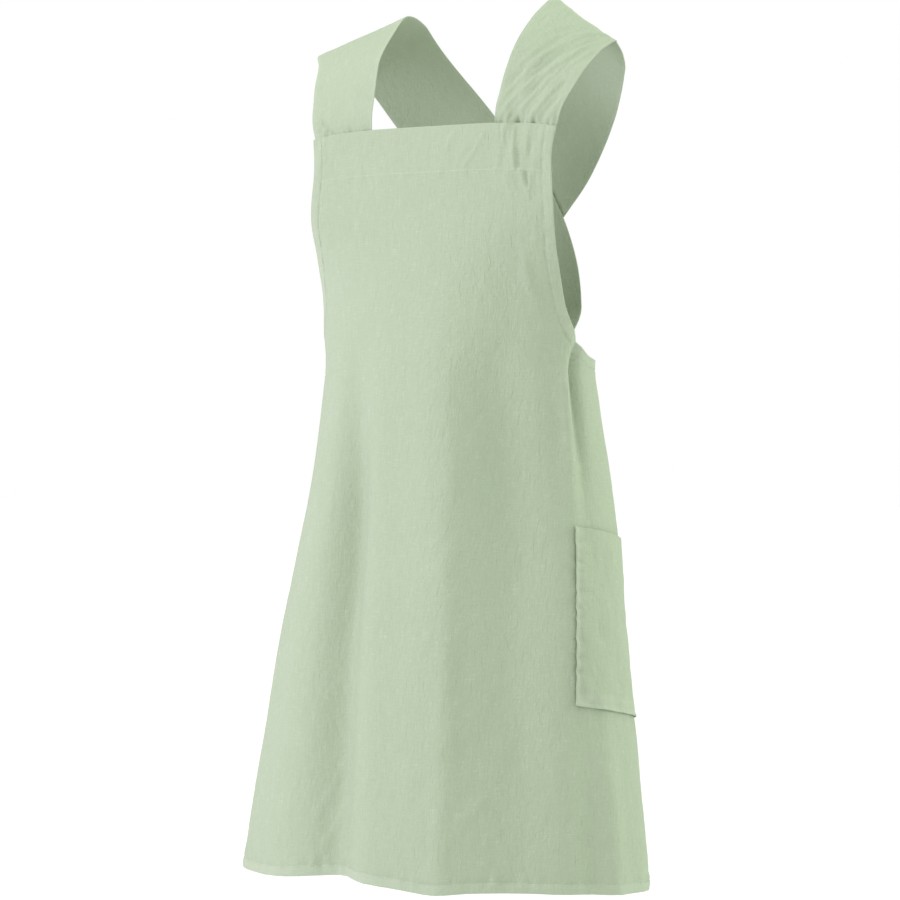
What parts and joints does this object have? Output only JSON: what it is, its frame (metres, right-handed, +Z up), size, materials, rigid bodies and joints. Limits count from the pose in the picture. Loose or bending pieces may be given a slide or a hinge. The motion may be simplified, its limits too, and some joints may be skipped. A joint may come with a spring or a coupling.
{
  "type": "cross back apron",
  "caption": "Knee-length linen work apron: square bib, wide gathered straps that cross on the back, side-wrapping flared skirt with an open back and a patch pocket.",
  "frame": {"origin": "midway between the two straps, level with the middle of each strap where it passes over the shoulder", "axes": "+Z up, -Y towards the wearer's front, +X towards the wearer's left"},
  "size_m": [0.5211, 0.3578, 1.0432],
  "materials": {
    "linen": "soft washed linen, matt, with a fine plain weave and small slubs"
  },
  "bodies": {
    "root": {"apron_body": "linen", "bib_facing": "linen", "strap_left": "linen", "strap_right": "linen", "pocket": "linen", "bottom_hem": "linen", "armhole_hem_left": "linen", "armhole_hem_right": "linen", "back_hem_left": "linen", "back_hem_right": "linen"}
  },
  "joints": []
}
